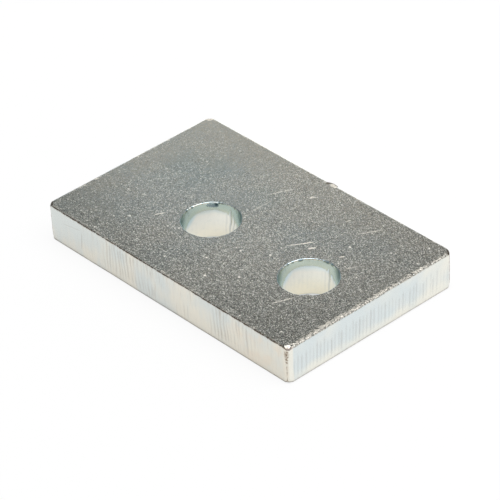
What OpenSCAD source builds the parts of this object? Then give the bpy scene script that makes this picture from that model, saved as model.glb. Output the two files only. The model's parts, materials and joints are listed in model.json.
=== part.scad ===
// Pin locking plate: a flat steel plate, cut from sheet, that is bolted beside a pin so that
// one of its edges sits in a slot across the pin and stops it from turning or sliding out.
// Frame: origin at the middle of the seat face, +X along the length, +Y across it, +Z up.

/* [Plate] */
// Length of the plate
plate_l = 50; // [44:0.5:90]
// Width of the plate
plate_w = 31.5; // [28:0.5:60]
// Thickness of the sheet
plate_t = 6; // [4:0.5:12]
// Plan radius of the four corners
corner_r = 0.8; // [0.5:0.1:4]
// Easing radius along the upper edge of the outline
top_edge_r = 0.2; // [0.1:0.05:0.4]
// Easing radius along the lower edge of the outline
bottom_edge_r = 0.3; // [0.1:0.05:0.4]

/* [Bolt holes] */
// Diameter of both bolt holes
hole_d = 8.5; // [5:0.5:11]
// Distance between the hole centres
hole_pitch = 20; // [14:0.5:26]
// Distance from the right end to the centre of the nearer hole
hole_end_margin = 10; // [8:0.5:14]
// Distance from the front edge to the centres of the holes
hole_front_margin = 13.5; // [8:0.5:18]
// Easing radius on the rims of the holes
rim_r = 0.15; // [0.05:0.05:0.4]

/* [Cut nib] */
// Width of the nib that is left where the outline cut starts and ends
nib_w = 2.2; // [1.2:0.1:4]
// How far the nib stands out from the back edge
nib_h = 0.6; // [0.2:0.05:0.6]
// Distance from the right end to the middle of the nib
nib_end_margin = 23.9; // [12:0.1:36]

/* [Hidden] */
$fn = 96;
hole_r = hole_d / 2;
hole_y = hole_front_margin - plate_w / 2;
hole_x = [for (step = [1, 0]) plate_l / 2 - hole_end_margin - step * hole_pitch];
nib_r = nib_w * nib_w / (8 * nib_h) + nib_h / 2;
nib_x = plate_l / 2 - nib_end_margin;
overrun = 1;

// Half section of an eased edge: the full thickness, with its outer corners rounded
module edge_section(reach) {
    square([reach - max(top_edge_r, bottom_edge_r), plate_t]);
    translate([0, bottom_edge_r]) square([reach, plate_t - top_edge_r - bottom_edge_r]);
    translate([reach - bottom_edge_r, bottom_edge_r]) circle(bottom_edge_r);
    translate([reach - top_edge_r, plate_t - top_edge_r]) circle(top_edge_r);
}

// Straight stretch of the rim, along Y, with its eased edge towards +X
module rim_side(run) {
    rotate([90, 0, 0]) linear_extrude(run, center = true) edge_section(corner_r);
}

// Quarter of the rim round one plan corner, from +X to +Y
module rim_corner() {
    rotate_extrude(angle = 90) edge_section(corner_r);
}

// The plate before drilling: a core slab inside a rim of four sides and four corners
module blank() {
    core_l = plate_l - 2 * corner_r;
    core_w = plate_w - 2 * corner_r;
    translate([-core_l / 2, -core_w / 2, 0]) cube([core_l, core_w, plate_t]);
    for (side = [0:3]) {
        run = side % 2 == 0 ? core_w : core_l;
        reach = (side % 2 == 0 ? core_l : core_w) / 2;
        rotate(90 * side) translate([reach, 0, 0]) {
            rim_side(run);
            translate([0, run / 2, 0]) rim_corner();
        }
    }
}

// Upright ridge on the back edge, a slice of a disc with the same eased edge as the outline
module cut_nib() {
    translate([nib_x, plate_w / 2 + nib_h - nib_r, 0]) rotate_extrude() edge_section(nib_r);
}

// Rounding of one rim: the space outside the round, up to the face at height 0
module rim_flare_section() {
    difference() {
        translate([0, -overrun]) square([hole_r + rim_r, overrun + rim_r]);
        translate([hole_r + rim_r, rim_r]) circle(rim_r);
    }
}

// What a bolt hole takes out of the plate: a true bore, flared at both rims
module hole_cutter() {
    rotate_extrude() {
        square([hole_r, plate_t]);
        rim_flare_section();
        translate([0, plate_t]) mirror([0, 1]) rim_flare_section();
    }
}

module locking_plate() {
    color("#a4a9a6") difference() {
        union() {
            blank();
            cut_nib();
        }
        for (x = hole_x) translate([x, hole_y, 0]) hole_cutter();
    }
}

locking_plate();
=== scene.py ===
# %% [markdown]
# # A zinc-plated pin locking plate
# The object is one flat piece of steel: a rectangle cut from sheet, with two bolt holes, plated with
# zinc afterwards. Its shape is simple, so its looks come from how it was made: rolled faces with a
# fine grain, cut edges with upright lines, rims that are a little ragged, and the faint colours of
# the plating. The CAD model gives every size. This lesson builds a detailed copy of it.

# %% Load the frame
import json
import math
import random
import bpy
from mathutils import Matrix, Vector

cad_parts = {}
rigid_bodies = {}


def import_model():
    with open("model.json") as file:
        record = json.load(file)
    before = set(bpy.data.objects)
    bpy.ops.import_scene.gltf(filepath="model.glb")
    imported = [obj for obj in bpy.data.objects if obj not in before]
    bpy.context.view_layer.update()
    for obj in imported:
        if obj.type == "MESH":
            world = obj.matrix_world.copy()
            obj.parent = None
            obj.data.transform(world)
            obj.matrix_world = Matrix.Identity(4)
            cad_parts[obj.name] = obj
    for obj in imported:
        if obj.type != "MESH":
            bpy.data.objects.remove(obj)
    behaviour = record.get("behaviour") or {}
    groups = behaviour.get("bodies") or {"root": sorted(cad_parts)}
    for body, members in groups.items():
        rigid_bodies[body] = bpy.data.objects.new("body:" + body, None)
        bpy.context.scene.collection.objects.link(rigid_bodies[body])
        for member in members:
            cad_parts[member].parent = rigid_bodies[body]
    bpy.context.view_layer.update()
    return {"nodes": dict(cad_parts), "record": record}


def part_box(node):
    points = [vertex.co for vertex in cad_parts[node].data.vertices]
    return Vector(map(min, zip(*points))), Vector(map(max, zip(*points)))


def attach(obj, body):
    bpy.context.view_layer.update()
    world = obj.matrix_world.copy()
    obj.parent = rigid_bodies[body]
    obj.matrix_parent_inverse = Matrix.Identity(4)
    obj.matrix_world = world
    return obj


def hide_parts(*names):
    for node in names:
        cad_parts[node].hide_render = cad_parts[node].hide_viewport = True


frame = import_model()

from types import SimpleNamespace
import bmesh
import bpy
from mathutils import Matrix, Vector, noise

# %% [markdown]
# ## Sizes
# Nothing is measured twice: the outline and the thickness come from the CAD node's box, the bolt
# holes from the mounts in the record, and the nib from the node's own points, because it is the only
# thing that stands out of the back edge.

# %% Sizes from the frame
MM = 0.001
node = frame["nodes"]["locking_plate"]
low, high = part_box("locking_plate")
half_l = high.x
half_w = -low.y
plate_t = high.z
mounts = {mount["name"]: mount for mount in frame["record"]["mounts"]}
holes = [Vector(mounts[name]["pos_m"]).xy for name in ("bolt_hole_left", "bolt_hole_right")]
hole_r = mounts["bolt_hole_left"]["dims"]["r_mm"] * MM
nib_h = high.y - half_w
nib_points = [v.co.x for v in node.data.vertices if v.co.y > half_w + 0.02 * MM]
nib_x = (min(nib_points) + max(nib_points)) / 2
nib_half = (max(nib_points) - min(nib_points)) / 2
print(f"plate {2 * half_l / MM:.1f} x {2 * half_w / MM:.1f} x {plate_t / MM:.1f} mm")
print(f"nib {2 * nib_half / MM:.1f} mm wide, at {nib_x / MM:.2f} mm")

# %% [markdown]
# ## One section, carried round
# A plate's edge has the same section all the way round: a strip of the face, a small rounding, the cut
# wall, and the same again below. It could be made by bevelling a box, but a bevel gives no control of
# the columns that the cut lines need. So the section is drawn once, as a chain of edges, and bmesh's
# spin carries it: along a straight side with no angle and a step, and round a corner with an angle.

# %% Draw the section of an edge
UP = Vector((0, 0, 1))
face_strip = 0.95 * MM
brim = 1.2 * MM
ease_steps = 4


def extend(bm, vert, move):
    """Grows the chain by a straight edge: returns its new end and the edge."""
    made = bmesh.ops.extrude_vert_indiv(bm, verts=[vert])
    bmesh.ops.translate(bm, verts=made["verts"], vec=move)
    return made["verts"][0], made["edges"][0]


def round_over(bm, vert, centre, axis):
    """Grows the chain by a quarter of a circle: returns its new end."""
    made = bmesh.ops.spin(bm, geom=[vert], cent=centre, axis=axis, dvec=Vector(),
                          angle=math.pi / 2, steps=ease_steps)
    return [item for item in made["geom_last"] if isinstance(item, bmesh.types.BMVert)][0]


def draw_section(foot, inward, ease_top, ease_bottom, rows):
    """A new bmesh with a chain of edges from the upper face to the lower, at foot, a point of the outline.
    rows are the counts of rows in the strip of the upper face, in the brim of the wall and below it."""
    bm = bmesh.new()
    axis = inward.cross(UP)
    top = foot + UP * plate_t
    vert = bmesh.ops.create_vert(bm, co=top + inward * face_strip)["vert"][0]
    vert, strip = extend(bm, vert, inward * (ease_top - face_strip))
    vert = round_over(bm, vert, top + (inward - UP) * ease_top, axis)
    vert, upper = extend(bm, vert, -UP * (brim - ease_top))
    vert, lower = extend(bm, vert, -UP * (plate_t - brim - ease_bottom))
    vert = round_over(bm, vert, foot + (inward + UP) * ease_bottom, axis)
    extend(bm, vert, inward * (face_strip - ease_bottom))
    for edge, count in zip((strip, upper, lower), rows):
        bmesh.ops.subdivide_edges(bm, edges=[edge], cuts=count - 1)
    return bm


print(f"section: {face_strip / MM:.2f} mm of face, {brim / MM:.1f} mm of brim")

# %% [markdown]
# ## Sweep the outline and the bores
# A bore is the same section facing the other way, spun through a full turn. The outline is swept with
# one step to a side, because spin gets slow on a large mesh. For the same reason each part is a bmesh of
# its own, so that a spin never has to carry what another one made.

# %% Sweep the edges
corner_steps = 14
bore_steps = 300
outline_ease = 0.25 * MM
bore_ease = 0.11 * MM
lower_ease = 0.35 * MM
outline_rows = (6, 6, 12)
bore_rows = (4, 12, 14)
corner_r = 1.0 * MM
core_l = half_l - corner_r
core_w = half_w - corner_r


def sweep_bore(centre):
    """The wall of a bore and the strips of face round it."""
    outward = Vector((1, 0, 0))
    bm = draw_section(centre.to_3d() + outward * hole_r, outward, bore_ease, lower_ease, bore_rows)
    bmesh.ops.spin(bm, geom=bm.verts[:] + bm.edges[:], cent=centre.to_3d(), axis=UP, dvec=Vector(),
                   angle=2 * math.pi, steps=bore_steps, use_merge=True)
    return bm


def sweep_outline():
    """The wall of the outline and the strips of face inside it: a side and a corner, four times."""
    start = Vector((-core_l, -half_w, 0))
    bm = draw_section(start, Vector((0, 1, 0)), outline_ease, lower_ease, outline_rows)
    geom = bm.verts[:] + bm.edges[:]
    heading = Vector((1, 0, 0))
    corner = Vector((core_l, -core_w, 0))
    for side in range(4):
        run = 2 * (core_l if side % 2 == 0 else core_w)
        geom = bmesh.ops.spin(bm, geom=geom, cent=Vector(), axis=UP, dvec=heading * run,
                              angle=0, steps=1)["geom_last"]
        geom = bmesh.ops.spin(bm, geom=geom, cent=corner, axis=UP, dvec=Vector(),
                              angle=math.pi / 2, steps=corner_steps)["geom_last"]
        heading = Vector((-heading.y, heading.x, 0))
        corner = corner + heading * 2 * (core_w if side % 2 == 0 else core_l)
    bmesh.ops.remove_doubles(bm, verts=bm.verts[:], dist=0.005 * MM)
    return bm


outline = sweep_outline()
bores = [sweep_bore(centre) for centre in holes]
print(f"faces: {len(outline.faces)} in the outline, {[len(part.faces) for part in bores]} in the bores")

# %% [markdown]
# ## Join the parts into one blank
# The three parts become one bmesh, and the flat faces are filled between their rings. Only then are the
# sides cut into columns, by subdivide_edges. The columns are a tenth of a millimetre apart, so that
# a cut line of this plate can be a real groove.

# %% Fill the faces and cut the columns
column = 0.1 * MM


def add_part(whole, part):
    """Copies a bmesh into another through a mesh that is then removed."""
    carrier = bpy.data.meshes.new("part")
    part.to_mesh(carrier)
    part.free()
    whole.from_mesh(carrier)
    bpy.data.meshes.remove(carrier)


def fill_face(bm, height):
    """Fills between the three open rings at a height."""
    ring = [e for e in bm.edges if e.is_boundary and all(abs(v.co.z - height) < column / 2 for v in e.verts)]
    bmesh.ops.triangle_fill(bm, edges=ring, use_beauty=True, normal=UP)


def cut_columns(bm, axis, run, reach):
    """Cuts the long edges of the two sides that run along axis (0 for X, 1 for Y) into columns."""
    across = 1 - axis
    strip = reach - face_strip + column / 2
    long_edges = [e for e in bm.edges if e.calc_length() > 0.9 * run
                  and all(abs(v.co[across]) > strip for v in e.verts)]
    bmesh.ops.subdivide_edges(bm, edges=long_edges, cuts=round(run / column) - 1)


bm = bmesh.new()
for part in (outline, *bores):
    add_part(bm, part)
fill_face(bm, plate_t)
fill_face(bm, 0)
cut_columns(bm, 0, 2 * core_l, half_w)
cut_columns(bm, 1, 2 * core_w, half_l)
bmesh.ops.recalc_face_normals(bm, faces=bm.faces[:])
loose = [e for e in bm.edges if not e.is_manifold]
print(f"blank: {len(bm.verts)} points, {len(bm.faces)} faces, {len(loose)} open edges")

# %% [markdown]
# ## Which face has which finish
# The rolled faces, the cut outline and the bores were made by different steps, so each gets its own
# material. A face is sorted by where its middle lies while the shape is still exact.

# %% Sort the faces
ROLLED, CUT, BORE = range(3)


def outline_spot(point):
    """How far along the outline and how deep inside it a point lies, and the way out; None if inside."""
    core = Vector((min(core_l, max(-core_l, point.x)), min(core_w, max(-core_w, point.y))))
    away = point.xy - core
    if away.length < 0.001 * MM:
        return None
    return (point.x - point.y) / MM, (corner_r - away.length) / MM, away.normalized()


def bore_spot(point):
    """The bore that a point is at, its angle there and its distance from the wall; None if it is at none."""
    for number, centre in enumerate(holes):
        away = point.xy - centre
        if away.length < hole_r + face_strip * 0.98:
            return number, math.atan2(away.y, away.x), (away.length - hole_r) / MM
    return None


counts = [0, 0, 0]
for face in bm.faces:
    middle = face.calc_center_median()
    bore, spot = bore_spot(middle), outline_spot(middle)
    if bore and bore[2] < bore_ease / MM:
        face.material_index = BORE
    elif spot and not bore and spot[1] < outline_ease / MM:
        face.material_index = CUT
    counts[face.material_index] += 1
print(f"faces: {counts[ROLLED]} rolled, {counts[CUT]} cut, {counts[BORE]} bore")

# %% [markdown]
# ## Cut lines
# A beam that cuts sheet leaves upright lines, about two thirds of a millimetre apart. They start
# below a smooth band, trail a little, and fade near the lower edge. A texture could paint them, but a
# groove that is there in the mesh also catches light from the side. Each line has its own place,
# strength and start, drawn once from a seeded generator so that every run gives the same plate.

# %% Draw the cut lines
line_pitch = 0.68
line_width = 0.15
line_trail = 0.3
line_groove = 0.02
lines_each_way = 90
thick = plate_t / MM
draw = random.Random(7)
LINES = [((k + draw.uniform(-0.2, 0.2)) * line_pitch, draw.uniform(0.3, 1), draw.uniform(1.6, 2.6))
         for k in range(-lines_each_way, lines_each_way)]


def ramp(low, high, x):
    """0 at low and before it, 1 at high and past it, a smooth step between; low may be above high."""
    t = min(1, max(0, (x - low) / (high - low)))
    return t * t * (3 - 2 * t)


def cut_line(along, depth, early=0.0):
    """Strength of the cut line at a place, 0 to 1, all in millimetres; early is how much higher it starts."""
    at = along - line_trail * (depth / thick) ** 2
    first = int(math.floor(at / line_pitch)) + lines_each_way
    strength = 0
    for centre, line, begins in LINES[max(0, first - 1):first + 3]:
        gap = (at - centre) / line_width
        begun = ramp(begins - 0.5, begins + 0.5, depth + early)
        strength = max(strength, line * math.exp(-gap * gap) * begun)
    return strength * (1 - ramp(0.7, 0.95, depth / thick))


print(f"{len(LINES)} cut lines, {line_pitch} mm apart")

# %% [markdown]
# ## Worn tips, a crease and the nib
# The four upper tips were knocked in handling: each is a small slope, and the front right one is a
# three-cornered facet. A brown crease runs down that corner, wider at its top. At the back, where the
# cut began, a nib stands out like a slice of a disc. They are only measured here, in millimetres. The
# next step moves the points by them.

# %% Measure the wear and the nib
# For each corner, by the signs of X and Y: how far the wear reaches in, its slope and its half width.
worn_tips = {(1, -1): (0.72, 0.4, 0.55), (1, 1): (0.42, 0.4, 1.5),
             (-1, 1): (0.85, 0.03, 1.5), (-1, -1): (0.3, 0.5, 1.5)}
tip_fade = 0.2
crease_angle = 33
crease_narrow, crease_wide = 8, 22
crease_strength = 0.55


def nib_reach(x):
    """How far the nib stands out at x: a slice of a disc."""
    gap = (x - nib_x) / MM
    half, tall = nib_half / MM, nib_h / MM
    if abs(gap) >= half:
        return 0.0
    radius = (half * half + tall * tall) / (2 * tall)
    return math.sqrt(radius * radius - gap * gap) - (radius - tall)


def worn_tip(point):
    """How far inside the worn tip of its corner a point lies, or 0, and how much lower it is there."""
    reach, slope, half = worn_tips[1 if point.x > 0 else -1, 1 if point.y > 0 else -1]
    past_x, past_y = abs(point.x) - core_l, abs(point.y) - core_w
    inside = max(0, ((past_x + past_y) / math.sqrt(2) - corner_r) / MM + reach)
    across = abs(past_x - past_y) / math.sqrt(2) / MM + 0.5 * inside
    inside *= 1 - ramp(half, half + tip_fade, across)
    return inside, inside * slope


def front_crease(right, front, depth):
    """Strength of the brown line down the front right corner, which is wider and darker at its top."""
    angle = math.degrees(math.atan2(right, front))
    spread = crease_wide + (crease_narrow - crease_wide) * ramp(0.8, 3.5, depth)
    strength = crease_strength * ramp(0.2, 0.6, depth) * (1 - 0.3 * ramp(2, 4.5, depth))
    return strength * math.exp(-((angle - crease_angle) / spread) ** 2)


print(f"nib stands out {nib_reach(nib_x):.2f} mm, front tip is worn {worn_tips[1, -1][0]} mm deep")

# %% [markdown]
# ## What to know about a point
# The rules that shape the outline all ask the same things of a point: which side it faces, how far along
# and how deep it lies, and how rough the edge is there. So these are measured once and kept together
# under plain names. The roughness is smooth noise along the edge, one slow and one fast.

# %% Measure a point of the outline
def wobble(u, v=0.0, w=0.0):
    """Smooth noise, about -1 to 1."""
    return noise.noise(Vector((u, v, w)))


def measure(point):
    """What the rules need to know about a point near the outline, in millimetres; None if it is inside."""
    spot = outline_spot(point)
    if not spot:
        return None
    at = SimpleNamespace(x=point.x / MM, height=point.z / MM, depth=thick - point.z / MM)
    at.along, at.inset, at.out = spot
    at.right, at.left = max(0, at.out.x), max(0, -at.out.x)
    at.rear, at.front = max(0, at.out.y), max(0, -at.out.y)
    at.turn = abs(at.out.x * at.out.y) * 2
    at.wall = 1 - ramp(0, 0.3, at.inset)
    at.brow = 1 - ramp(0, 0.5, at.depth)
    at.rough = wobble(at.along / 0.45, 1.7) + 0.7 * wobble(at.along / 0.2, 4.1)
    at.nib = nib_reach(point.x) if at.out.y > 0.9 else 0
    return at


right_middle = measure(Vector((half_l, 0, plate_t)))
print(f"middle of the right end: faces right by {right_middle.right:.0f}, roughness {right_middle.rough:.2f}")

# %% [markdown]
# ## Shape the outline
# The points of the outline move in and out with the cut lines and a slow wave. Along the right end the
# upper edge is ragged, along the other sides it is crisper, and the lower corners are rounded like
# a ball. Sculpting could do this once, but a rule for each point can be read and changed.

# %% Move the points of the outline
wave_out = 0.03
ragged_out = 0.16
ragged_drop = 0.08
crisp_front, crisp_rear, crisp_left = 0.55, 0.4, 0.3
ball_r = 0.9
ball_share = 0.45
nib_slope = 0.5
front_bands = ((-12.5, -1.5), (10, 17.5))


def outline_line(at):
    """Strength of the cut line at a point: all along three sides, and in patches along the front."""
    band = max(ramp(start - 1, start + 1, at.x) * ramp(end + 1, end - 1, at.x) for start, end in front_bands)
    share = min(1, at.right + at.left + at.rear + at.front * (0.15 + 0.85 * band))
    sway = 0.3 * at.front * wobble(at.along / 3, at.depth / 2.5, 5.9)
    patchy = 1 - at.front * (0.5 - 0.9 * wobble(at.along / 2.2, at.depth / 3, 8.3))
    line = cut_line(at.along + sway, at.depth, 1.6 * at.front)
    return line * share * patchy * at.wall * (1 - ramp(0.5, 1, at.turn))


def move_outline(vert, at, line, sunk):
    """Moves a point out and up by the line, the wave, the ragged edge, the nib and the ball of its corner."""
    rim = at.brow * (1 - ramp(0.35, 0.75, at.inset))
    move = at.wall * wave_out * wobble(at.along / 5, at.depth / 4, 2.3) - line_groove * line
    move += rim * (0.2 + 0.8 * at.right) * ragged_out * at.rough * (1 - at.turn)
    move += at.nib * (1 - ramp(0.3, 0.75, at.inset))
    sunk += at.nib * nib_slope * (1 - ramp(0, 0.6, at.inset))
    lift = -rim * at.right * ragged_drop * abs(at.rough) - sunk * (1 - ramp(0, 0.9, at.depth))
    if max(at.depth, at.inset) < outline_ease / MM + 0.01:
        crisp = (crisp_front * at.front + crisp_rear * at.rear + crisp_left * at.left) * (1 - at.turn)
        move += at.inset * crisp
        lift += at.depth * crisp
    ball = ball_share * ramp(0.3, 0.9, at.turn) * (1 - 1.2 * at.right * at.front)
    ball *= 1 - ramp(0.4, 0.9, at.inset)
    below = ball_r - min(ball_r, max(0, at.height))
    move -= ball * (ball_r - math.sqrt(ball_r * ball_r - below * below))
    vert.co.x += at.out.x * move * MM
    vert.co.y += at.out.y * move * MM
    vert.co.z += lift * MM


print(f"corners are rounded below over {ball_r} mm, the right edge is ragged by {ragged_out} mm")

# %% [markdown]
# ## Marks for the materials
# A material can't know where an edge was cut or worn, so three numbers are kept on each point: the cut
# line, the bright bead of the ragged edge, which also holds painted highlights, and the brown stain on the
# corners, which also holds painted shade along the upper front edge, on two tips and on the nib. They could
# be painted by hand as vertex colours. Worked out here, they follow the shape.

# %% Mark the points of the outline
# The bead number also carries painted highlight, and the stain number also carries painted shade.
line_layer = bm.verts.layers.float.new("cut_line")
bead_layer = bm.verts.layers.float.new("bead")
stain_layer = bm.verts.layers.float.new("stain")


def front_edge_painted_shade(at):
    """Strength of the painted shade, dark and uneven, along the upper front edge and round the front left
    corner.
    """
    bend = ramp(0, 0.5, 2 * at.front * at.left)
    patches = wobble(at.along / 0.8, 11.4) + 0.6 * wobble(at.along / 0.25, 13.2)
    uneven = 0.68 + 0.32 * ramp(-0.3, 0.15, patches)
    inner = 0.12 + 0.15 * bend + 0.08 * ramp(12, 23, at.x)
    edge_shade = 1 - ramp(inner, inner + 0.13 + 0.05 * bend + 0.12 * max(0, at.rough), at.inset)
    return edge_shade * (1 - ramp(0.12, 0.42, at.depth)) * max(ramp(0.7, 0.95, at.front) * uneven, bend)


def ragged_bead(at, y):
    """Strength of the bright bead, a real burr with a painted highlight: broad along the right end, narrower
    to the back, faint elsewhere.
    """
    faint = 0.4 * (at.left + at.rear) * ramp(-0.1, 0.3, wobble(at.along / 2.5, 9.2))
    inner = 0.95 - 0.4 * ramp(-6, 12, y)
    bead = at.brow * (1 - ramp(0.1, inner, at.inset + 0.35 * at.rough))
    return bead * (at.right + 0.3 * at.front + faint)


def mark_outline(vert, at, line, tip):
    """Keeps the three numbers on a point."""
    worn = ramp(0, 0.15, tip) * at.brow
    # Painted highlight on the worn front right and back left tips, and painted shade on the other two.
    painted_highlight_tip = min(1, 5 * (at.right * at.front + at.left * at.rear))
    painted_shade_tip = min(1, 5 * (at.left * at.front + at.right * at.rear))
    # The nib is painted: shade on its left part and at its outer rim, a highlight on the rest.
    nib = ramp(0.05, 0.25, at.nib) * (1 - ramp(0, 0.9, at.depth)) * (1 - ramp(0.35, 0.75, at.inset))
    nib_left_shade = ramp(0.1, -0.6, (vert.co.x - nib_x) / nib_half)
    nib_painted_shade = max(nib_left_shade, 0.85 * (1 - ramp(0.12, 0.24, at.inset)))
    if at.right * at.front > 0:
        crease = front_crease(at.right, at.front, at.depth)
    else:
        crease = 0.5 * ramp(0.35, 0.8, at.turn)
    vert[line_layer] = line
    vert[bead_layer] = max(worn * painted_highlight_tip, ragged_bead(at, vert.co.y / MM), nib * (1 - nib_painted_shade))
    vert[stain_layer] = max(crease * at.wall, front_edge_painted_shade(at), worn * painted_shade_tip, nib * nib_painted_shade)


def shape_outline(vert):
    """Moves and marks a point near the outline, and leaves any other as it is."""
    at = measure(vert.co)
    if at:
        tip, sunk = worn_tip(vert.co)
        line = outline_line(at)
        move_outline(vert, at, line, sunk)
        mark_outline(vert, at, line, tip)


print("kept on each point:", bm.verts.layers.float.keys())

# %% [markdown]
# ## Flaws of the bores
# The left bore has a gouge just under its rim, and the right one has a small bump inside. The gouge is
# part of a hollow ball, so it has a clear edge. The bump swells and fades without one. Both are painted
# with shade, so each rule also says how dark a point is painted.

# %% Measure the gouge and the bump
gouge_angle, gouge_half, gouge_cut, gouge_depth = math.radians(135), 0.85, 0.2, 0.42
bump_angle, bump_half, bump_height = math.radians(-47), 0.55, 0.3


def turn_gap(angle, other):
    """Distance along the wall, in millimetres, between two angles of a bore."""
    return (((angle - other + math.pi) % (2 * math.pi)) - math.pi) * hole_r / MM


def hump(gap, half):
    """1 in the middle of a smooth hump, falling off with the distance."""
    return math.exp(-(gap / half) ** 2)


def gouge(angle, depth, wall):
    """How far the gouge moves a point out, and how dark it is painted there as shade, darkest to one side."""
    across = turn_gap(angle, gouge_angle) / gouge_half
    down = (depth - gouge_depth) / (0.3 - 0.06 * across)
    hollow = math.sqrt(max(0, 1 - across * across - down * down)) * wall
    return gouge_cut * hollow, min(1, hollow * 2) * (0.22 + 0.73 * ramp(0, -0.6, across))


def bump(angle, near, edge):
    """How far the bump moves a point out, which is inwards, and how dark it is painted there as shade."""
    swell = hump(turn_gap(angle, bump_angle), bump_half)
    return -bump_height * swell * near, 0.7 * swell * edge


print(f"gouge {2 * gouge_half} mm wide and {gouge_cut} mm deep, bump {bump_height} mm high")

# %% [markdown]
# ## Shape the bores
# The beam opens a bore slightly towards the top, and its lines are faint, except where the cut began
# and ended. The rim is a little ragged, with dark dots where it is roughest, and it is painted with a
# highlight towards the back left and with shade towards the front right. Painted shade darkens two ends of
# each bore.

# %% Shape the bores
mouth_flare = 0.13
mouth_depths = 2.4, 1.9
mouth_peak, mouth_peak_angle = 0.7, math.radians(131)
bore_tight = 0.06
foot_taper = 0.10
bore_groove = 0.015
rim_ragged = 0.07
start_angle = math.radians(95)
# The angle, half width and strength of the painted shade at each end.
painted_end_shades = (math.radians(-146), 1.3, 0.42), (math.radians(58), 1.5, 0.7)


def shape_bore(vert, number, angle, inset):
    """Moves and marks a point of the bore of that number, 0 on the left and 1 on the right."""
    depth = thick - vert.co.z / MM
    arc = angle * hole_r / MM
    wall = 1 - ramp(0, 0.3, inset)
    near = 1 - ramp(0.3, 0.65, inset)
    rim = (1 - ramp(0.0, 0.35, depth)) * near
    start = hump(turn_gap(angle, start_angle), 0.9)
    far = ramp(-0.2, 0.3, math.cos(angle - gouge_angle))
    rough = wobble(arc / 0.35, 3.3 + number) + 0.6 * wobble(arc / 0.16, 6.1 + number)

    sway = 0.15 * wobble(depth / 1.5, arc / 2, 7.7 + number)
    share = (0.04 + 0.06 * number + 1.1 * start) * wall
    line = cut_line(arc + sway + 20 * (number + 1), depth, 1.2 * start) * share
    peak = mouth_peak * hump(turn_gap(angle, mouth_peak_angle), 0.4) * (1 - number)
    move = mouth_flare * max(0, 1 - depth / (mouth_depths[number] - peak)) ** 2 * near
    move -= (bore_tight + foot_taper * ramp(2.6, thick, depth)) * near
    move += bore_groove * line * (1 + 2 * start) + rim_ragged * rim * rough
    # Painted shade at the two ends of each bore.
    end_shade = max(strength * hump(turn_gap(angle, end), half) for end, half, strength in painted_end_shades)
    end_shade *= (1 - ramp(0.8, 3.4, depth)) * wall
    if number == 0:
        flaw_move, flaw_painted_shade = gouge(angle, depth, wall)
    else:
        flaw_move, flaw_painted_shade = bump(angle, near, rim * (1 - ramp(0.02, 0.12, inset)))
    move += flaw_move
    vert.co.x += math.cos(angle) * move * MM
    vert.co.y += math.sin(angle) * move * MM

    # Painted highlight on the far rim, and painted shade on the near rim.
    edge = rim * (1 - ramp(0.0, 0.1, inset))
    dots = ramp(0.1, 0.35, rough) * far * (0.5 + 0.5 * number)
    near_rim_shade = 0.6 * rim * (1 - ramp(0.05, 0.3, inset)) * (1 - far)
    vert[line_layer] = line
    vert[bead_layer] = edge * far * (1 - dots)
    vert[stain_layer] = max(end_shade, flaw_painted_shade, near_rim_shade, edge * dots * 0.8)


print(f"bores open by {mouth_flare} mm over {mouth_depths[0]} and {mouth_depths[1]} mm")

# %% [markdown] ## The plate as an object Every point is now shaped by the rule of the bore or the
# outline that it is near.

# %% Make the plate
for vert in bm.verts:
    bore = bore_spot(vert.co)
    if bore:
        shape_bore(vert, *bore)
    else:
        shape_outline(vert)

mesh = bpy.data.meshes.new("plate_body")
bm.to_mesh(mesh)
bm.free()
mesh.shade_smooth()
plate = bpy.data.objects.new("plate_body", mesh)
bpy.context.scene.collection.objects.link(plate)
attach(plate, "root")
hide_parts("locking_plate")
print(f"plate_body: {len(mesh.vertices)} points, {sum(len(p.vertices) - 2 for p in mesh.polygons)} triangles")

# %% [markdown]
# ## A small language for shaders
# A material is a sum of noises, masks and tints. Written as Python expressions it can be read, so one
# class wraps a socket: arithmetic on it adds Math nodes, and its node method adds any other node.

# %% Sockets that take part in arithmetic
class Wire:
    """A socket of a node tree, or with no socket just the tree."""

    def __init__(self, tree, socket=None):
        self.tree = tree
        self.socket = socket

    def node(self, kind, settings=None, sockets=None, output=0):
        """Adds a node: its settings first, then the values or links of its sockets."""
        made = self.tree.nodes.new(kind)
        for name, value in (settings or {}).items():
            setattr(made, name, value)
        for name, value in (sockets or {}).items():
            if isinstance(value, Wire):
                self.tree.links.new(value.socket, made.inputs[name])
            else:
                made.inputs[name].default_value = value
        return Wire(self.tree, made.outputs[output] if made.outputs else None)

    def math(self, operation, first, second=0.0):
        return self.node("ShaderNodeMath", {"operation": operation}, {0: first, 1: second})

    def __add__(self, other):
        return self.math("ADD", self, other)

    def __sub__(self, other):
        return self.math("SUBTRACT", self, other)

    def __rsub__(self, other):
        return self.math("SUBTRACT", other, self)

    def __mul__(self, other):
        return self.math("MULTIPLY", self, other)

    def __pow__(self, other):
        return self.math("POWER", self, other)

    __radd__ = __add__
    __rmul__ = __mul__

    def part(self, name):
        """Another output of the node that this wire comes from."""
        return Wire(self.tree, self.socket.node.outputs[name])

    def between(self, low, high):
        """0 at low and before it, 1 at high and past it, smooth between; low may be above high."""
        return self.node("ShaderNodeMapRange", {"interpolation_type": "SMOOTHSTEP"},
                         {"Value": self, "From Min": low, "From Max": high})

    def mix(self, first, second, blend="MIX"):
        """The colour first where this wire is 0 and, where it is 1, second laid over it in that way."""
        return self.node("ShaderNodeMix", {"data_type": "RGBA", "blend_type": blend},
                         {0: self, 6: first, 7: second}, output=2)


print("a wire can also:", [name for name in vars(Wire) if not name.startswith("_")])

# %% [markdown]
# ## What the three finishes share
# Each finish starts from the place on the plate in millimetres and from the numbers kept on the points,
# and ends in one metal shader with a fine relief. So these two ends are written once.

# %% Helpers for the finishes
def colour(red, green, blue):
    return (red, green, blue, 1.0)


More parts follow.
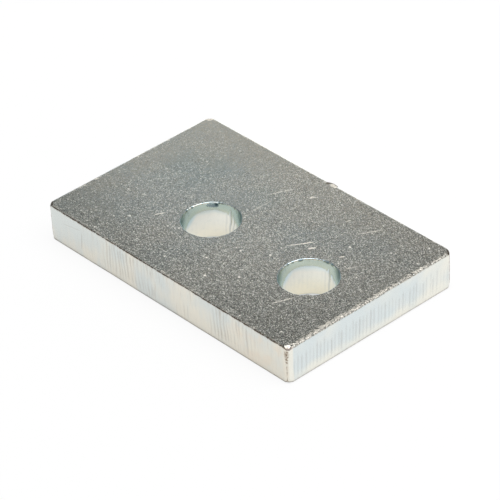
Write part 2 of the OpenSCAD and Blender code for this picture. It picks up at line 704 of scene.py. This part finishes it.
def new_material(name):
    """A material with an empty tree: returns it, a wire to add nodes with, and places in millimetres."""
    material = bpy.data.materials.new(name)
    material.use_nodes = True
    material.node_tree.nodes.clear()
    wire = Wire(material.node_tree)
    spot = wire.node("ShaderNodeTexCoord", output="Object")
    spot = wire.node("ShaderNodeVectorMath", {"operation": "SCALE"}, {0: spot, "Scale": 1 / MM})
    return material, wire, spot


def axes(wire, spot):
    """The three parts of a place."""
    place = wire.node("ShaderNodeSeparateXYZ", {}, {0: spot})
    return place, place.part("Y"), place.part("Z")


def grain(spot, scale, detail=2.0, roughness=0.5, squeeze=None):
    """Noise of that many waves to the millimetre; squeeze scales the place first."""
    if squeeze:
        spot = spot.node("ShaderNodeVectorMath", {"operation": "MULTIPLY"}, {0: spot, 1: squeeze})
    sockets = {"Vector": spot, "Scale": scale, "Detail": detail, "Roughness": roughness}
    return spot.node("ShaderNodeTexNoise", {}, sockets)


def kept(wire, name):
    """A number that was kept on the points of the mesh."""
    return wire.node("ShaderNodeAttribute", {"attribute_name": name}, output="Fac")


def metal(wire, base, rough, height, depth, grazing=(1, 1, 1)):
    """Closes a material: a metal of that colour and roughness, with a relief of that depth in metres.
    grazing is the tint that it takes on where it is seen almost edge on."""
    bump_node = wire.node("ShaderNodeBump", {}, {"Height": height, "Distance": depth})
    sockets = {"Base Color": base, "Roughness": rough, "Normal": bump_node}
    sockets.update({"Metallic": 1.0, "Specular Tint": colour(*grazing)})
    shader = wire.node("ShaderNodeBsdfPrincipled", {}, sockets)
    wire.node("ShaderNodeOutputMaterial", {}, {"Surface": shader})


helpers = new_material, axes, grain, kept, metal
print("helpers:", [helper.__name__ for helper in helpers])

# %% [markdown]
# ## Cells, scratches and patches
# Three kinds of marks are drawn on the plate: cells with a chance of their own, straight scratches that
# fade to their ends, and round patches. Each could be an image, but an image has a size of its own and
# a seam. Worked out from the place in millimetres, a mark stays sharp however close the camera comes.

# %% Draw cells, scratches and patches
def cells(wire, spot, scale):
    """Cells of that many to the millimetre: the distance to a cell's middle, and two chances of the cell."""
    distance = wire.node("ShaderNodeTexVoronoi", {}, {"Vector": spot, "Scale": scale}, output="Distance")
    luck = wire.node("ShaderNodeSeparateColor", {}, {0: distance.part("Color")})
    return distance, luck.part("Red"), luck.part("Green")


def scratch(x, y, start, end, width):
    """1 on a straight line from start to end, in millimetres, fading to its ends, and 0 off it."""
    run = Vector(end) - Vector(start)
    way = run.normalized()
    along = (x - start[0]) * way.x + (y - start[1]) * way.y
    off = (x - start[0]) * way.y - (y - start[1]) * way.x
    ends = along.between(0, run.length * 0.3) * along.between(run.length, run.length * 0.7)
    return (off * off).between(width * width, 0) * ends


def ellipse(x, y, middle, halves):
    """0 in the middle of an ellipse, 1 on it and more outside."""
    return ((x - middle[0]) * (1 / halves[0])) ** 2 + ((y - middle[1]) * (1 / halves[1])) ** 2


print("marks:", [helper.__name__ for helper in (cells, scratch, ellipse)])

# %% [markdown]
# ## Grain of the rolled faces
# Rolling leaves a fine pitted grain that the zinc follows. It sparkles most at the front and is softest
# near the back corner. Noise alone looks like worms at this size, so the pits are small cells, each with
# a brightness and a tint of its own, and a few larger cells hold bright flecks. Handling adds scratches.

# %% Patterns of the rolled faces
pit_scale = 7.0
fleck_scale = 1.35
# Each scratch has a start, an end, a width and a brightness.
marks = [((7.2, 0.4), (9.6, 4.0), 0.15, 0.8), ((8.6, 2.5), (9.6, 4.2), 0.14, 1),
         ((10.0, 2.2), (10.8, 3.4), 0.24, 1), ((15.7, -10.4), (17.2, -6.6), 0.15, 0.8),
         ((17.2, 2.3), (18.2, 4.3), 0.14, 0.7), ((-2.4, 2.4), (-2.1, 7.5), 0.2, 0.3),
         ((-11.8, -7.2), (-10.9, -5.4), 0.16, 0.8), ((1.2, 10.9), (1.6, 11.9), 0.2, 0.9),
         ((-3.8, 7.3), (-2.6, 10.0), 0.16, 0.5), ((-2.8, 9.6), (-1.9, 11.2), 0.16, 0.45),
         ((14.6, 3.7), (15.2, 4.7), 0.2, 0.8), ((9.1, 10.4), (9.5, 11.4), 0.16, 0.6),
         ((12.4, 9.3), (14.6, 13.0), 0.14, 0.65)]
# Each wiped patch has a middle and two half sizes.
wiped_patches = [((-3.4, 7.2), (3.6, 2.8)), ((-16.5, 4.5), (6, 6.5))]

rolled, wire, spot = new_material("rolled_zinc")
x, y = axes(wire, spot)[:2]
bead, stain = kept(wire, "bead"), kept(wire, "stain")
gritty = (x * 0.76 - y * 0.68 + (grain(spot, 0.15) - 0.5) * 30).between(-36, 16)
pits, hue = cells(wire, spot, pit_scale)[1:]
dents = grain(spot, 4.3, 1, 0.6)
fine = grain(spot, 8.0, 1, 0.6)
streak = grain(spot, 1.0, 2, 0.5, squeeze=(5, 0.45, 1)) - 0.5
pitted = (pits * 2 - 1) ** 3
tone = pitted * (0.08 + 0.6 * gritty) + (fine - 0.5) * (0.3 + 2.3 * gritty) + streak * 0.2 + 0.5
cell, luck, chance = cells(wire, spot, fleck_scale)
size = 0.07 + 0.2 * luck ** 4
fleck = (cell - size).between(0.08, -0.06) * chance.between(0.45, 0.85)
speck = grain(spot, 4.6, 0, 0.5).between(0.34, 0.22)
scratches = sum((scratch(x, y, start, end, width) * bright for start, end, width, bright in marks), 0.0)
cloud = (0.35 + 0.65 * grain(spot, 0.085, 2, 0.5).between(0.6, 0.38)) * y.between(16, 7)
# Painted shade towards the front of the upper face.
painted_front_shade_mask = ellipse(x, y, (-6, 9), (50, 21)).between(0.2, 1.5)
wiped = sum((ellipse(x, y, middle, halves).between(1.2, 0.1) for middle, halves in wiped_patches), 0.0)
crumbs = (fine - 0.5) * 2 + (dents - 0.5) * 2.5 + (grain(spot, 1.7, 0) - 0.5) * 1.5
print(f"{pit_scale} pits to a millimetre, {len(marks)} scratches, {len(wiped_patches)} wiped patches")

# %% [markdown]
# ## Colours of the rolled faces
# The zinc is a warm grey. Passivating adds faint blue-green clouds, and painted shade darkens the grey to
# the front and to the right. Over that lie the pits, the flecks and the scratches, and at the edges the bead
# and the stain that were kept on the points, with their painted highlight and shade. Each line lays one
# colour over what is there, like a coat of paint.

# %% Material of the rolled faces
warm_grey, cloud_grey = colour(0.338, 0.334, 0.297), colour(0.296, 0.322, 0.309)
painted_right_shade, painted_front_shade = colour(0.80, 0.79, 0.775), colour(0.68, 0.69, 0.68)
wiped_tint = colour(0.915, 0.955, 0.965)
blue_pit, tan_pit = colour(0.90, 0.96, 1.0), colour(1.0, 0.965, 0.89)
pit_shade, pit_glint = colour(0.42, 0.42, 0.43), colour(0.78, 0.77, 0.71)
speck_grey = colour(0.14, 0.145, 0.14)
fleck_white, scratch_white = colour(0.92, 0.90, 0.83), colour(0.95, 0.91, 0.82)
bead_cream, bead_tan = colour(0.74, 0.71, 0.63), colour(0.60, 0.56, 0.48)
stain_brown = colour(0.10, 0.08, 0.06)

base = cloud.mix(warm_grey, cloud_grey)
# Painted shade: the grey is darker to the right and to the front.
base = x.between(0, 30).mix(base, painted_right_shade, "MULTIPLY")
base = painted_front_shade_mask.mix(base, painted_front_shade, "MULTIPLY")
base = wiped.mix(base, wiped_tint, "MULTIPLY")
base = hue.between(0.4, 1.0).mix(base, blue_pit, "MULTIPLY")
base = hue.between(0.6, 0.0).mix(base, tan_pit, "MULTIPLY")
base = tone.between(0.7, 0).mix(base, pit_shade, "MULTIPLY")
base = (tone.between(0.5, 1.1) * 0.9).mix(base, pit_glint)
base = (speck * (0.05 + 0.6 * gritty)).mix(base, speck_grey)
base = (fleck * (0.02 + 0.95 * gritty)).mix(base, fleck_white)
base = (scratches * dents.between(0.3, 0.5)).mix(base, scratch_white)
back_left = y.between(8, 15) * x.between(5, -5)
# The bead colours lay a painted highlight on the real bead, and the brown lays painted shade as well as
# stain.
base = (bead * (1.1 + 1.6 * crumbs)).between(0.2, 0.7).mix(base, back_left.mix(bead_cream, bead_tan))
base = (stain * (1.0 + 2 * (dents - 0.5))).between(0.15, 0.7).mix(base, stain_brown)
relief = (dents * 0.6 + fine * 0.4 + fleck * 0.4) * (0.2 + 0.8 * gritty)
metal(wire, base, 0.4 - 0.1 * fleck * gritty, relief, 0.02 * MM)
print(f"rolled_zinc: {len(rolled.node_tree.nodes)} nodes")

# %% [markdown]
# ## Clouds on the cut edges
# A cut edge is brighter than a rolled face. The plating shows pale blue near the top and cream below. On
# the front the cream comes in zones with an upright veil of noise, and the whole front is painted a little
# darker, as shade.
# A few brown threads and two nicks are on the front as well.

# %% Patterns of the cut edges
front_y, right_x = -half_w / MM, half_l / MM
cut, wire, spot = new_material("cut_zinc")
line, bead, stain = kept(wire, "cut_line"), kept(wire, "bead"), kept(wire, "stain")
x, y, z = axes(wire, spot)
front_side = y.between(front_y + 0.45, front_y + 0.15)
front_corner = x.between(right_x - 1, right_x - 0.5) * y.between(front_y + 1.15, front_y + 0.75)
crumbs = grain(spot, 4.5, 1, 0.5)
low_band = z.between(2.4, 0.6) * (1 - front_side)
far_end = y.between(-6, 16) * (1 - front_side)
by_corner = x.between(9, 21)
by_left_hole = x.between(-18, -11) * x.between(0, -8)
by_right_hole = x.between(-1, 3) * x.between(9, 4)
veil = grain(spot, 1.0, 2, 0.6, squeeze=(0.55, 0.55, 0.14)) - 0.5
zones = by_corner * 0.5 + by_left_hole * 0.35 + by_right_hole * 0.25
patch = low_band * 0.5 + far_end * 0.45 + front_corner
patch += front_side * (zones + veil * 1.2 + z.between(5, 1) * 0.25)
cream = ((grain(spot, 0.16, 2, 0.5) - 0.5) * 2.2 + 0.15 + patch).between(0, 1)
peach = grain(spot, 0.45, 2, 0.5).between(0.42, 0.62) * front_side * x.between(10, 19)
thread = grain(spot, 1.0, 1, 0.5, squeeze=(5, 5, 0.25)).between(0.62, 0.74) * front_side * x.between(-19, -14)
nicks = scratch(x, z, (-22.2, 3.9), (-17.2, 4.8), 0.13) * 0.5
nicks += scratch(x, z, (-17.5, 4.8), (-17.9, 1.0), 0.13)
# Painted shade at the foot of the wall, where it meets the floor.
foot = z.between(0.5, 0.2) * crumbs.between(0.15, 0.6)
ragged = (bead * (1.2 + (crumbs - 0.5) * 2.5)).between(0.2, 0.8)
grit = (grain(spot, 3.6, 1, 0.6) + front_corner).between(0.42, 0.56)
brown = (stain * (1 + (crumbs - 0.5) * 3)).between(0.15, 0.75)
print(f"cut edges: front at {front_y:.2f} mm, right end at {right_x:.2f} mm")

# %% [markdown]
# ## Colours of the cut edges
# The cut lines are a little greyer than the wall, and browner on the front. The bead is cream with dark grit
# and a painted highlight, the foot of the wall is painted darker as shade, and the stain, which also holds
# painted shade, is brown, almost black where it is deepest.

# %% Material of the cut edges
# Painted shade: the front side, away from the light, is given darker colours than the right end.
cool = front_side.mix(colour(0.70, 0.755, 0.758), colour(0.66, 0.695, 0.675))
warm = front_side.mix(colour(0.85, 0.838, 0.762), colour(0.77, 0.74, 0.65))
line_tint = front_side.mix(colour(0.48, 0.50, 0.49), colour(0.38, 0.34, 0.29))
peach_tint = colour(0.78, 0.69, 0.57)
thread_tint, nick_tint = colour(0.45, 0.39, 0.31), colour(0.40, 0.36, 0.30)
painted_foot_shade, grit_tint = colour(0.34, 0.31, 0.27), colour(0.25, 0.245, 0.22)
bead_tint = front_corner.mix(colour(0.70, 0.67, 0.60), colour(0.42, 0.365, 0.33))
back_tip = y.between(8, 15) * x.between(-20, -24)
bead_tint = back_tip.mix(bead_tint, colour(0.45, 0.41, 0.34))
stain_tint = stain.between(0.5, 0.8).mix(colour(0.27, 0.21, 0.155), colour(0.075, 0.06, 0.045))

base = cream.mix(cool, warm)
base = (peach * 0.5).mix(base, peach_tint)
base = (line * (0.65 - 0.25 * far_end)).mix(base, line_tint)
base = (thread * 0.3).mix(base, thread_tint)
base = (nicks * front_side * 0.35).mix(base, nick_tint)
base = (foot * 0.8).mix(base, painted_foot_shade)
# The bead tint is partly a painted highlight, and the stain tint also lays painted shade.
base = ragged.mix(base, grit.mix(grit_tint, bead_tint))
base = brown.mix(base, stain_tint)
relief = grain(spot, 2.2, 3, 0.6) + 1.5 * bead * crumbs
metal(wire, base, 0.2 + 0.15 * line + 0.2 * brown + 0.28 * bead, relief, 0.01 * MM)
print(f"cut_zinc: {len(cut.node_tree.nodes)} nodes")

# %% [markdown]
# ## Bore walls
# A bore is as bright as a mirror, so it shows the white sheet through its lower end. Higher up the light
# has to bounce twice, and a teal band is painted under the rim as that darker reflection. The painted band
# reaches lower on two opposite sides of a bore, and the right bore is a little paler and warmer.

# %% Material of the bores
band_way = Vector((0.73, 0.68))
left_along, right_along = (centre.dot(band_way) / MM for centre in holes)
between_holes = (holes[0].x + holes[1].x) / 2 / MM
low_cream, wall_white = colour(0.81, 0.77, 0.65), colour(0.79, 0.785, 0.72)
warm_tint, mottle_tint = colour(1.0, 0.99, 0.945), colour(0.6, 0.63, 0.6)
left_teal_reflection, right_teal_reflection = colour(0.565, 0.69, 0.71), colour(0.65, 0.77, 0.815)
bore_line_tint, rim_highlight_white = colour(0.45, 0.47, 0.465), colour(0.88, 0.87, 0.82)
teal_stain_and_shade = colour(0.11, 0.19, 0.215)
edge_on_tint = (0.85, 0.93, 0.95)

bored, wire, spot = new_material("bored_zinc")
line, bead, stain = kept(wire, "cut_line"), kept(wire, "bead"), kept(wire, "stain")
x, y, z = axes(wire, spot)
crumbs = grain(spot, 4.5, 1, 0.5)
right_bore = x.between(between_holes - 0.1, between_holes + 0.1)
# Painted reflection: the teal band reaches lower on two opposite sides of each bore.
across = x * band_way.x + y * band_way.y - left_along - (right_along - left_along) * right_bore
lower = 1.4 * (across * across).between(4, 13)
teal_reflection = (z + (grain(spot, 0.3, 2, 0.5) - 0.5) + lower).between(3.9, 5.2)
base = z.between(0.5, 3.5).mix(low_cream, wall_white)
base = (right_bore * z.between(4.5, 1.5)).mix(base, warm_tint, "MULTIPLY")
base = (grain(spot, 1.2, 2, 0.6).between(0.5, 0.7) * 0.12).mix(base, mottle_tint)
base = teal_reflection.mix(base, right_bore.mix(left_teal_reflection, right_teal_reflection))
base = (line * 0.8).mix(base, bore_line_tint)
# The rim white is a painted highlight, and the dark teal lays painted shade as well as the dark dots.
base = (bead + (crumbs - 0.5) * 1.6).between(0.3, 0.9).mix(base, rim_highlight_white)
base = stain.mix(base, teal_stain_and_shade)
relief = grain(spot, 2.2, 3, 0.6)
metal(wire, base, 0.09 + 0.15 * line + 0.5 * stain, relief, 0.002 * MM, edge_on_tint)

for material in (rolled, cut, bored):
    mesh.materials.append(material)
print("materials:", [material.name for material in mesh.materials])

# %% [markdown]
# ## The camera
# The camera was worked out from the plate's edges in the photograph: where it stands, what it aims at,
# how far it is rolled and how long its lens is.

# %% Place the camera
photo_azimuth = 48.821
photo_elevation = 35.217
photo_roll = -2.914
photo_distance = 442.98 * MM
photo_aim = Vector((1.316, -0.758, 3.04)) * MM
photo_lens = 226.34


def direction(azimuth, elevation):
    """The way from the plate to a place at that azimuth and elevation, in degrees."""
    a, e = math.radians(azimuth), math.radians(elevation)
    return Vector((math.sin(a) * math.cos(e), -math.cos(a) * math.cos(e), math.sin(e)))


camera = bpy.data.objects.new("camera", bpy.data.cameras.new("camera"))
bpy.context.scene.collection.objects.link(camera)
camera.data.sensor_width = 36
camera.data.lens = photo_lens
camera.data.clip_start = 10 * MM
camera.data.clip_end = 10
back = direction(photo_azimuth, photo_elevation)
facing = (-back).to_track_quat("-Z", "Y").to_matrix().to_4x4()
roll = Matrix.Rotation(math.radians(photo_roll), 4, "Z")
camera.matrix_world = Matrix.Translation(photo_aim + back * photo_distance) @ facing @ roll
bpy.context.scene.camera = camera
print("camera at", [round(c / MM, 1) for c in camera.location])

# %% [markdown]
# ## The floor
# The plate lies on a white sheet in a plain studio. The sheet is lit, so it keeps the plate's shadow,
# and it also glows a little for the camera and for reflections, so that it comes out white and the
# bright metal shows white. Close to the plate's foot the glow is taken back, as it would be in shade.

# %% Make the floor
floor_half = 3
floor_glow = 0.9
covered_glow = 0.42
mirror_glow = 0.6
contact_reach = 0.5 * MM
contact_shade = 0.9
sheet_white, glow_white = colour(0.96, 0.96, 0.96), colour(1, 1, 1)
floor_mesh = bpy.data.meshes.new("floor")
bm = bmesh.new()
bmesh.ops.create_grid(bm, x_segments=1, y_segments=1, size=floor_half)
bm.to_mesh(floor_mesh)
bm.free()
floor = bpy.data.objects.new("floor", floor_mesh)
bpy.context.scene.collection.objects.link(floor)
sheet = bpy.data.materials.new("white_sheet")
sheet.use_nodes = True
sheet.node_tree.nodes.clear()
wire = Wire(sheet.node_tree)
ray = wire.node("ShaderNodeLightPath")
x, y = axes(wire, wire.node("ShaderNodeTexCoord", output="Object"))[:2]
past = wire.math("MAXIMUM", wire.math("ABSOLUTE", x) - half_l, wire.math("ABSOLUTE", y) - half_w)
clear = past.between(-MM, 0)
contact = past.between(contact_reach, 0.1 * MM) * past.between(-3 * contact_reach, -2 * contact_reach)
direct = ray.part("Is Camera Ray") * (covered_glow + (floor_glow - covered_glow) * clear)
mirrored = (ray.part("Is Glossy Ray") + ray.part("Is Transmission Ray")) * mirror_glow
shown = direct + mirrored * (1 - contact_shade * contact)
matt = wire.node("ShaderNodeBsdfDiffuse", {}, {"Color": sheet_white})
glow = wire.node("ShaderNodeEmission", {}, {"Color": glow_white, "Strength": 1.0})
surface = wire.node("ShaderNodeMixShader", {}, {0: shown, 1: matt, 2: glow})
wire.node("ShaderNodeOutputMaterial", {}, {"Surface": surface})
floor_mesh.materials.append(sheet)
print("floor glow for the camera and for mirrors:", floor_glow, mirror_glow)

# %% [markdown]
# ## The light
# The photograph has a plain, soft light with no hard shadow. Bright metal shows its surroundings more
# than its lamps, so the room itself is a soft grey that is paler at the horizon and overhead, and to the
# right. Three square lamps add the rest: a large one to the right, one overhead, and a low one behind.

# %% Light the studio
horizon_level = 0.86
middle_drop = 0.47
overhead_gain = 0.6
to_the_right = Vector((0.657, 0.753))
world = bpy.data.worlds.new("studio")
bpy.context.scene.world = world
world.use_nodes = True
world.node_tree.nodes.clear()
wire = Wire(world.node_tree)
x, y, z = axes(wire, wire.node("ShaderNodeTexCoord", output="Generated"))
room = horizon_level - middle_drop * z.between(0.0, 0.5) + overhead_gain * z.between(0.65, 1.0)
room = room * (0.85 + 0.25 * (x * to_the_right.x + y * to_the_right.y))
sky = wire.node("ShaderNodeBackground", {}, {"Color": room, "Strength": 1.0})
wire.node("ShaderNodeOutputWorld", {}, {"Surface": sky})


def softbox(name, azimuth, elevation, distance, size, radiance):
    """A square lamp that faces the plate; radiance is how bright it looks, with 1 as white."""
    lamp = bpy.data.lights.new(name, "AREA")
    lamp.size = size
    lamp.energy = radiance * math.pi * size * size
    holder = bpy.data.objects.new(name, lamp)
    bpy.context.scene.collection.objects.link(holder)
    away = direction(azimuth, elevation)
    turned = away.to_track_quat("Z", "Y").to_matrix().to_4x4()
    holder.matrix_world = Matrix.Translation(away * distance) @ turned


softbox("main_box", photo_azimuth + 72, elevation=58, distance=0.7, size=0.5, radiance=2.4)
softbox("overhead_box", photo_azimuth, elevation=88, distance=0.7, size=0.35, radiance=3.2)
softbox("back_box", photo_azimuth + 180, elevation=20, distance=0.26, size=0.12, radiance=1.7)
bpy.context.scene.view_settings.view_transform = "Standard"

# %% [markdown]
# ## Sizes at the end
# The dressed plate has to fill the same space as the CAD model.
